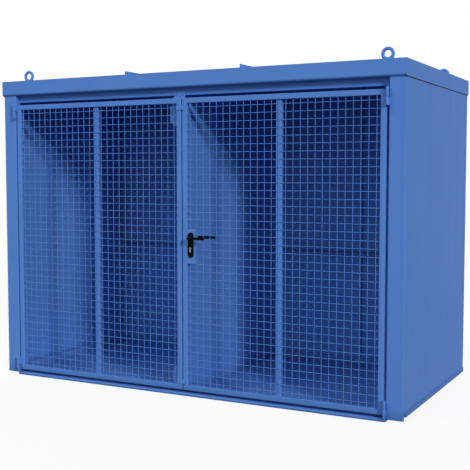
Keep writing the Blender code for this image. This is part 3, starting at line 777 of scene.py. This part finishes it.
@dataclass
class HingePair(SubAssembly):
    """Both hinges of one door, with the tube that carries the door's halves."""

    side: Side = Side.LEFT
    axis: Pair = (0.0, 0.0)
    barrel: float = 0.010
    height: float = 0.112
    pin: float = 0.006
    play: float = 0.0004
    gap: float = 0.0006
    cap: float = 0.004
    soft: float = 0.0016
    turns: int = 40
    leg: float = 0.006
    leg_depth: float = 0.041
    leg_middle: float = 0.0255
    leg_soft: float = 0.0012
    bite: float = 0.0005
    tube: float = 0.035
    tube_bend: float = 0.0045
    seat: float = 0.0003
    weld: float = 0.0030
    weld_inset: float = 0.002
    weld_depths: Pair = (0.001, 0.0015)

    def leg_plate(self, near: float, low: float, high: float) -> Surface:
        """Flat leg behind the barrel: a rectangle with soft corners, carried upwards."""
        foot = (self.side.value * (near + self.leg / 2), self.axis[1] + self.leg_middle)
        return carry(rounded(rectangle(self.leg, self.leg_depth), self.leg_soft),
                     [(*foot, low), (*foot, high)], Y_AXIS)

    def barrel_rim(self, low: float, high: float) -> list[Pair]:
        """Outer profile of a half barrel, with a soft edge at each end."""
        rise = dome(self.soft, self.soft)
        shoulder = self.barrel - self.soft
        return ([(shoulder + r, low + self.soft - h) for r, h in rise[::-1]]
                + [(shoulder + r, high - self.soft + h) for r, h in rise])

    def seam(self, x: float, y: float, low: float, high: float) -> Surface:
        """Upright bead, a little shorter than the leg it holds."""
        return bead((x, y, low + self.weld_inset), (x, y, high - self.weld_inset), self.weld)

    def build(self) -> None:
        """Build the posts' halves, then the door's tube with its knuckles."""
        door, word = self.side.door, self.side.word
        sign = self.side.value
        centre = (*self.axis, 0.0)
        meeting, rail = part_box(f"{door.value}_meeting_stile"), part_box(f"{door.value}_top_rail")
        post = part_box(f"{word}_front_post")
        post_edge = min(abs(corner.x) for corner in post)
        near = max(abs(corner.x) for corner in rail) + self.seat
        leaf_edge = near + self.tube
        tube, welds = Shell(), Shell()
        outline = rounded(rectangle(self.tube, self.tube), self.tube_bend)
        x, y = sign * (near + self.tube / 2), (rail[0].y + rail[1].y) / 2
        tube.add(carry(outline, [(x, y, corner.z) for corner in meeting], Y_AXIS))
        for place in ("bottom", "top"):
            node = f"{word}_{place}_hinge_pin"
            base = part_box(node)[0].z
            middle, high = base + self.height / 2, base + self.height
            top, pin_top = middle - self.gap, high - self.cap - self.play
            half = lathe([(0, base), *self.barrel_rim(base, top), (self.pin, top),
                          (self.pin, pin_top - self.soft), (self.pin - self.soft, pin_top),
                          (0, pin_top)], self.turns, centre)
            leg = self.leg_plate(post_edge - self.seat - self.leg, base, top)
            self.make(f"{word}_{place}_hinge_post_half", Shell().add(half).add(leg), Body.CAGE,
                      replaced=[node], smooth=30.0)

            bore = self.pin + self.play
            tube.add(lathe([(0, high - self.cap), (bore, high - self.cap), (bore, middle),
                            *self.barrel_rim(middle, high), (0, high)], self.turns, centre))
            tube.add(self.leg_plate(leaf_edge - self.bite, middle, high))
            leaf_depth, post_depth = self.weld_depths
            welds.add(self.seam(sign * leaf_edge, rail[0].y + leaf_depth, middle, high))
            seam = self.seam(sign * post_edge, post[0].y + post_depth, base, top)
            self.make(f"{word}_{place}_hinge_weld", Shell().add(seam), Body.CAGE)
        self.make(f"{door.value}_hinge_tube", tube, door,
                  replaced=[f"{door.value}_hinge_stile"], smooth=30.0)
        self.make(f"{door.value}_hinge_welds", welds, door)


@dataclass
class DoorWelds(SubAssembly):
    """Beads at the corners of one door's frame, its middle bar and its plates."""

    side: Side = Side.LEFT
    inset: float = 0.004
    flat: Pair = (0.0036, 0.0012)
    fillet: float = 0.0030
    bar_fillet: float = 0.0024
    bar_insets: Pair = (0.001, 0.002)
    plate_fillet: float = 0.002
    plate_start: float = 0.0355
    plate_reach: float = 0.018
    plate_inset: float = 0.003
    plate_drop: float = 0.001

    def build(self) -> None:
        """Lay a bead on the back and on the inner corner of each joint."""
        door = self.side.door
        shell = Shell()
        for rail, inner in (("top_rail", 0), ("bottom_rail", 1)):
            low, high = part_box(f"{door.value}_{rail}")
            z = (low.z, high.z)[inner]
            for x in (low.x, high.x):
                shell.add(bead((x, high.y, low.z + self.inset), (x, high.y, high.z - self.inset),
                               self.flat))
                shell.add(bead((x, low.y + self.inset, z), (x, high.y - self.inset, z),
                               self.fillet))
        low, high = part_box(f"{door.value}_mid_bar")
        front, back = low.y + self.bar_insets[0], high.y - self.bar_insets[1]
        for z, x in itertools.product((low.z, high.z), (low.x, high.x)):
            shell.add(bead((x, front, z), (x, back, z), self.bar_fillet))
        if self.side is Side.LEFT:
            for place in ("top", "bottom"):
                low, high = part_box(f"left_door_{place}_bolt_plate")
                x, z = high.x - self.plate_start, low.z - self.plate_drop
                y = high.y - self.plate_inset
                shell.add(bead((x, y, z), (x - self.plate_reach, y, z), self.plate_fillet))
        self.make(f"{door.value}_frame_welds", shell, door)


@dataclass
class GapTabs(SubAssembly):
    """Thin plates over one door's tabs, which all but close the gap between the doors."""

    side: Side = Side.LEFT
    middles: Pair = (0.098, 1.952)
    near: float = 0.0004
    far_left: float = 0.0405
    far_right: float = 0.0205
    height: float = 0.031
    proud: float = 0.0005
    depth: float = 0.006
    corner: float = 0.002
    soft: float = 0.0006

    def build(self) -> None:
        """Carry a rectangle with round corners back from the plate's softened face."""
        door = self.side.door
        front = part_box(f"{door.value}_meeting_stile")[0].y - self.proud
        far = self.far_left if self.side is Side.LEFT else self.far_right
        width = far - self.near
        outline = rounded(rectangle(width, self.height), self.corner)
        face = (1.0 - 2 * self.soft / width, 1.0 - 2 * self.soft / self.height)
        x = self.side.value * (self.near + far) / 2
        steps = (0.0, self.soft, self.depth)
        shell = Shell()
        for z in self.middles:
            shell.add(carry(outline, [(x, front + step, z) for step in steps], Z_AXIS,
                            [face, (1.0, 1.0), (1.0, 1.0)]))
        self.make(f"{door.value}_gap_tabs", shell, door, smooth=30.0)


@dataclass
class LiftingEye(SubAssembly):
    """One lifting eye: a ring on a flared neck and collar."""

    place: str = "front"
    side: Side = Side.LEFT
    outer: float = 0.043
    bar: float = 0.0105
    bar_sides: int = 20
    ring_steps: int = 56
    foot_sides: int = 40
    thicker: float = 0.16

    def build(self) -> None:
        """Carry a circle round the ring, and turn the foot below it."""
        node = f"lifting_eye_{self.place}_{self.side.word}"
        low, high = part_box(node)
        x, y, z = (low.x + high.x) / 2, (low.y + high.y) / 2, high.z - self.outer
        across, up = circle(self.ring_steps).T
        middle = self.outer - self.bar
        size = self.bar * np.stack([1.0 + self.thicker * np.clip(-up, 0.0, 1.0) ** 2,
                                    np.ones(self.ring_steps)], axis=1)
        ring = grid(x + middle * across, y, z + middle * up)
        shell = Shell().add(carry(circle(self.bar_sides), ring, Y_AXIS, size, closed=True))
        shell.add(lathe(EYE_FOOT, self.foot_sides, (x, y, low.z)))
        self.make(f"eye_{self.place}_{self.side.word}", shell, Body.CAGE, replaced=[node],
                  smooth=50.0)


@dataclass
class Rivets(SubAssembly):
    """Domed rivets in the walls and in the roof's seams, dimpled where their stems broke off."""

    sides: int = 12
    beside_seam: float = 0.045
    wall_rows: Pair = (2.056, 0.295)
    roof_rows: int = 5
    roof_inset: float = 0.06
    seam_half: float = 0.0025
    seam_drop: float = 0.010

    def beside(self, seam: float) -> list[Array]:
        """Positions along the wall and heights of the rivets on both sides of a seam."""
        pair = [seam - self.beside_seam, seam + self.beside_seam]
        return [places.ravel() for places in np.meshgrid(pair, self.wall_rows)]

    def build(self) -> None:
        """Place the rivets beside the walls' seams and through the roof's."""
        shell = Shell()
        for side, place in itertools.product(Side, ("front", "middle")):
            low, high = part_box(f"{side.word}_wall_{place}_panel")
            y, z = self.beside(high.y)
            x = high.x if side is Side.RIGHT else low.x
            shell.add(lathe(RIVET, self.sides, ORIGIN, side.value * X_AXIS), grid(x, y, z))
        for number in (1, 2, 3):
            low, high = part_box(f"back_wall_panel_{number}")
            x, z = self.beside(high.x)
            shell.add(lathe(RIVET, self.sides, ORIGIN, Y_AXIS), grid(x, high.y, z))
        self.make("wall_rivets", shell, Body.CAGE, smooth=50.0)

        shell = Shell()
        low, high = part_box("roof_sheet_middle")
        y = np.linspace(low.y + self.roof_inset, high.y - self.roof_inset, self.roof_rows)
        for x, way in ((low.x, -1), (high.x, 1)):
            places = grid(x + self.seam_half * np.sign(x), y, high.z - self.seam_drop)
            shell.add(lathe(RIVET, self.sides, ORIGIN, way * X_AXIS), places)
        self.make("roof_seam_rivets", shell, Body.CAGE, smooth=50.0)


@dataclass
class RoofSeal(SubAssembly):
    """Black strips under the side fascias, where the roof sits over the walls: painted shadow of
    the fascias' edges.
    """

    height: float = 0.0056
    reach: float = 0.0030
    soft: float = 0.0006
    sunk: float = 0.0005
    end_gap: float = 0.012

    def build(self) -> None:
        """Carry a soft-cornered strip along each side, below the fascia's edge."""
        outline = rounded(rectangle(self.reach, self.height), self.soft)
        for side in Side:
            low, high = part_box(f"roof_sheet_{side.word}")
            wall = max(abs(corner.x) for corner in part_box(f"{side.word}_wall_front_panel"))
            x = side.value * (wall + self.reach / 2 - self.sunk)
            z = low.z - self.height / 2 + self.sunk
            ends = [(x, low.y + self.end_gap, z), (x, high.y - self.end_gap, z)]
            # The black strip paints the shadow line under the fascia's edge.
            self.make(f"{side.word}_roof_seal", Shell().add(carry(outline, ends)), Body.CAGE,
                      Slot.BLACK_PLASTIC)


@dataclass
class RailScrews(SubAssembly):
    """Painted button-head screws that hold each chain rail to the back wall."""

    sides: int = 18
    spacing: float = 0.36
    inset: float = 0.05
    seat: float = 0.0021

    def build(self) -> None:
        """Place screws in the bottom of both rails' channels."""
        shell = Shell()
        screw = lathe(RAIL_SCREW, self.sides, ORIGIN, -Y_AXIS)
        for side in Side:
            low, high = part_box(f"{side.word}_rail")
            count = int((high.x - low.x - 2 * self.inset) / self.spacing) + 1
            x = np.linspace(low.x + self.inset, high.x - self.inset, count)
            shell.add(screw, grid(x, high.y - self.seat, (low.z + high.z) / 2))
        self.make("rail_screws", shell, Body.CAGE, smooth=50.0)


@dataclass
class LockFurniture(SubAssembly):
    """Handle plates with their screws, keyway and hub rings on the right door."""

    axis: Triple = ORIGIN
    soft: float = 0.0026
    plate_sides: int = 48
    hub_sides: int = 40
    plug_sides: int = 32
    screw_sides: int = 24
    screw_inset: float = 0.012
    keyway_span: Pair = (-0.0004, 0.00065)

    def plate(self, node: str, out: int) -> Surface:
        """Handle plate with round ends and a soft outer edge.

        Point (i, j) = middle + r_i (cos a_j, sin a_j), moved up or down by half the straight
        length as sin a_j is positive or negative, at the depth of ring i. The radius r_i falls
        by a quarter circle at the outer edge.

        Args:
            node: The CAD plate.
            out: Sign of Y towards the outer face.

        Returns:
            Points and faces.
        """
        low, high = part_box(node)
        half = (high.x - low.x) / 2
        straight = (high.z - low.z) / 2 - half
        turn = 2 * np.pi * (np.arange(self.plate_sides) + 0.5) / self.plate_sides
        bend = np.linspace(0.0, np.pi / 2, 5)
        radius = np.append(half, half - self.soft * (1 - np.cos(bend)))
        rise = np.append(0.0, high.y - low.y - self.soft + self.soft * np.sin(bend))
        inner = low.y if out > 0 else high.y
        x = (low.x + high.x) / 2 + radius[:, None] * np.cos(turn)
        z = (low.z + high.z) / 2 + radius[:, None] * np.sin(turn) + straight * np.sign(np.sin(turn))
        y = np.broadcast_to((inner + out * rise)[:, None], x.shape)
        rings = np.stack([x, y, z], axis=-1)
        return skin(rings if out > 0 else rings[:, ::-1])

    def build(self) -> None:
        """Build both plates and what sits on them."""
        x, _, z = self.axis
        black = (Body.RIGHT_DOOR, Slot.BLACK_PLASTIC)
        for word, out in (("outer", -1), ("inner", 1)):
            node = f"{word}_lock_plate"
            low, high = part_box(node)
            face = low.y if out < 0 else high.y
            plate = Shell().add(self.plate(node, out))
            plate.add(lathe(HUB, self.hub_sides, (x, face, z), out * Y_AXIS))
            self.make(f"{word}_handle_plate", plate, *black, replaced=[node], smooth=32.0)
            screws = Shell()
            for height in (low.z + self.screw_inset, high.z - self.screw_inset):
                screws.add(lathe(PLATE_SCREW, self.screw_sides, (x, face, height), out * Y_AXIS))
            self.make(f"{word}_plate_screws", screws, *black, smooth=32.0)

        low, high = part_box("lock_cylinder")
        x, z = (low.x + high.x) / 2, high.z - (high.x - low.x) / 2
        plugs, keyways = Shell(), Shell()
        for face, out in ((low.y, -1), (high.y, 1)):
            plugs.add(lathe(PLUG, self.plug_sides, (x, face, z), out * Y_AXIS))
            ends = [(x, face + out * step, z) for step in self.keyway_span]
            keyways.add(carry(KEYWAY * (out, 1), ends))
        self.make("cylinder_plug", plugs, Body.RIGHT_DOOR, Slot.NICKEL, smooth=32.0)
        self.make("cylinder_keyway", keyways, *black)


@dataclass
class Levers(SubAssembly):
    """Outer and inner lever of the handle."""

    axis: Triple = ORIGIN
    neck: float = 0.0078
    grip: float = 0.0095
    grip_start: float = 0.085
    flatter: float = 0.14
    bend: float = 0.020
    bend_steps: int = 12
    stem_steps: int = 6
    bar_steps: int = 13
    end_steps: int = 8
    sides: int = 28

    def lever(self, node: str, out: int) -> Surface:
        """A round bar that leaves the plate, turns a corner and ends in a dome.

        The path is straight, a quarter circle and straight again. The radius grows from the neck
        to the grip by 3s^2 - 2s^3, with s from 0 to 1 up to the grip's start, and ends as
        sqrt(1 - e^2) over the last radius. Across the path the grip is flattened.

        Args:
            node: The CAD lever, whose box gives the reach.
            out: Sign of Y away from the door.

        Returns:
            Points and faces.
        """
        x, _, z = self.axis
        low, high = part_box(node)
        face, grip_y = (high.y, low.y + self.grip) if out < 0 else (low.y, high.y - self.grip)
        turn = np.linspace(0.0, np.pi / 2, self.bend_steps)
        arc = grid(x + self.bend * (1 - np.cos(turn)),
                   grip_y - out * self.bend * (1 - np.sin(turn)), z)
        stem = grid(x, np.linspace(face, arc[0, 1], self.stem_steps + 1)[:-1], z)
        end = np.linspace(0.0, np.pi / 2, self.end_steps + 1)[:-1]
        reach = high.x - self.grip
        bar = np.linspace(arc[-1, 0], reach, self.bar_steps + 1)[1:-1]
        run = np.concatenate([bar, reach + self.grip * np.sin(end)])
        path = np.concatenate([stem, arc, grid(run, grip_y, z)])
        gone = np.append(0.0, np.cumsum(np.linalg.norm(np.diff(path, axis=0), axis=1)))
        s = np.clip(gone / self.grip_start, 0.0, 1.0)
        ease = 3 * s ** 2 - 2 * s ** 3
        radius = self.neck + (self.grip - self.neck) * ease
        radius[-self.end_steps:] *= np.cos(end)
        size = np.stack([radius * (1.0 - self.flatter * ease), radius], axis=1)
        return carry(circle(self.sides), path, Z_AXIS, size)

    def build(self) -> None:
        """Build both levers."""
        for word, out in (("outer", -1), ("inner", 1)):
            node = f"{word}_lever"
            self.make(f"{word}_lever_grip", Shell().add(self.lever(node, out)), Body.HANDLE,
                      Slot.BLACK_PLASTIC, replaced=[node], smooth=60.0)


# Studio


@dataclass(frozen=True)
class Lamp:
    """A distant lamp: turn from the front, height and breadth in degrees, and strength."""

    name: str
    turn: float
    height: float
    breadth: float
    strength: float

    def hang(self) -> None:
        """Add the lamp to the scene, shining at the object."""
        data = bpy.data.lights.new(self.name, "SUN")
        data.energy = self.strength
        data.angle = math.radians(self.breadth)
        lamp = bpy.data.objects.new(self.name, data)
        lamp.rotation_euler = (math.radians(90.0 - self.height), 0.0, math.radians(self.turn))
        bpy.context.scene.collection.objects.link(lamp)


@dataclass(frozen=True)
class Studio:
    """Camera, lamps, white surround and pale floor."""

    position: Triple = (3.1271, -5.9645, 1.5111)
    pitch: float = -0.0680
    roll: float = -0.0003
    yaw: float = 0.4821
    lens: float = 68.930
    sensor: float = 36.0
    lamps: tuple[Lamp, ...] = (Lamp("key", 58.0, 21.2, 8.0, 1.86),
                               Lamp("fill", -45.0, 45.0, 30.0, 0.74),
                               Lamp("front", 14.0, 24.0, 80.0, 0.99),
                               Lamp("back", 215.0, 38.0, 70.0, 2.00))
    ambient: float = 0.08
    ambient_colour: Colour = (0.90, 0.95, 1.0, 1.0)
    floor_size: float = 60.0
    floor_white: float = 0.90
    floor_seen: Colour = (0.86, 0.87, 0.88, 1.0)
    floor_unseen: Colour = (0.14, 0.14, 0.15, 1.0)

    def place_camera(self) -> None:
        """Set the camera that was solved from the photograph's edges."""
        data = bpy.data.cameras.new("camera")
        data.lens = self.lens
        data.sensor_width = self.sensor
        camera = bpy.data.objects.new("camera", data)
        turned = Euler((math.pi / 2 + self.pitch, 0.0, self.yaw)).to_matrix()
        camera.rotation_euler = (turned @ Matrix.Rotation(self.roll, 3, "Z")).to_euler()
        camera.location = self.position
        bpy.context.scene.collection.objects.link(camera)
        bpy.context.scene.camera = camera

    def surround(self) -> None:
        """White where the camera or a reflection sees it, and an even soft light elsewhere."""
        world = bpy.data.worlds.new("surround")
        bpy.context.scene.world = world
        graph = Graph(world)
        light = graph.add("Background", {"Color": self.ambient_colour, "Strength": self.ambient})
        white = graph.add("Background", {"Color": WHITE, "Strength": 1.0})
        graph.shader_mix("OutputWorld", graph.seen(), light, white)

    def lay_floor(self) -> None:
        """Lay a pale floor that keeps the object's shadow, and sends little light up to it."""
        corners = grid(*rectangle(self.floor_size, self.floor_size).T, 0.0)
        floor = Shell().add((corners, [np.arange(4)[None]])).to_object("studio_floor")
        material = bpy.data.materials.new("studio_floor")
        graph = Graph(material)
        seen = graph.seen()
        matt = graph.add("BsdfDiffuse",
                         {"Color": graph.mix(seen, self.floor_unseen, self.floor_seen)})
        white = graph.add("Emission", {"Color": WHITE, "Strength": 1.0})
        graph.shader_mix("OutputMaterial", seen * self.floor_white, matt, white)
        floor.data.materials.append(material)

    def build(self) -> None:
        """Set camera, lamps, surround, floor and view."""
        self.place_camera()
        for lamp in self.lamps:
            lamp.hang()
        self.surround()
        self.lay_floor()
        bpy.context.scene.view_settings.view_transform = "Standard"


def dress_nodes(frame: Mapping[str, Any], materials: Mapping[Slot, bpy.types.Material]) -> None:
    """Give every CAD node the material of its slot.

    Args:
        frame: The loaded frame.
        materials: The material of each slot.
    """
    for part in frame["record"]["subparts"]:
        node = frame["nodes"][part["node"]]
        node.data.materials.clear()
        node.data.materials.append(materials[Slot(part["material_slot"])])


def main() -> None:
    """Load the frame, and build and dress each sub-assembly."""
    logging.basicConfig(level=logging.INFO, format="%(name)s: %(message)s")
    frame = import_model()
    places = {joint["name"]: tuple(joint["pos_m"]) for joint in frame["joints"]}
    materials = {finish.slot: finish.material() for finish in FINISHES}
    dress_nodes(frame, materials)

    assemblies: list[SubAssembly] = []
    for side in Side:
        hinge = places[f"{side.word}_door_hinge"][:2]
        assemblies += [WireMesh(side=side), HingePair(side=side, axis=hinge),
                       DoorWelds(side=side), GapTabs(side=side)]
        assemblies += [LiftingEye(place=place, side=side) for place in ("front", "back")]
    assemblies += [Rivets(), RoofSeal(), RailScrews(), LockFurniture(axis=places["handle_turn"]),
                   Levers(axis=places["handle_turn"])]
    for assembly in assemblies:
        assembly.build()
        assembly.dress(materials)
    Studio().build()


if __name__ == "__main__":
    main()
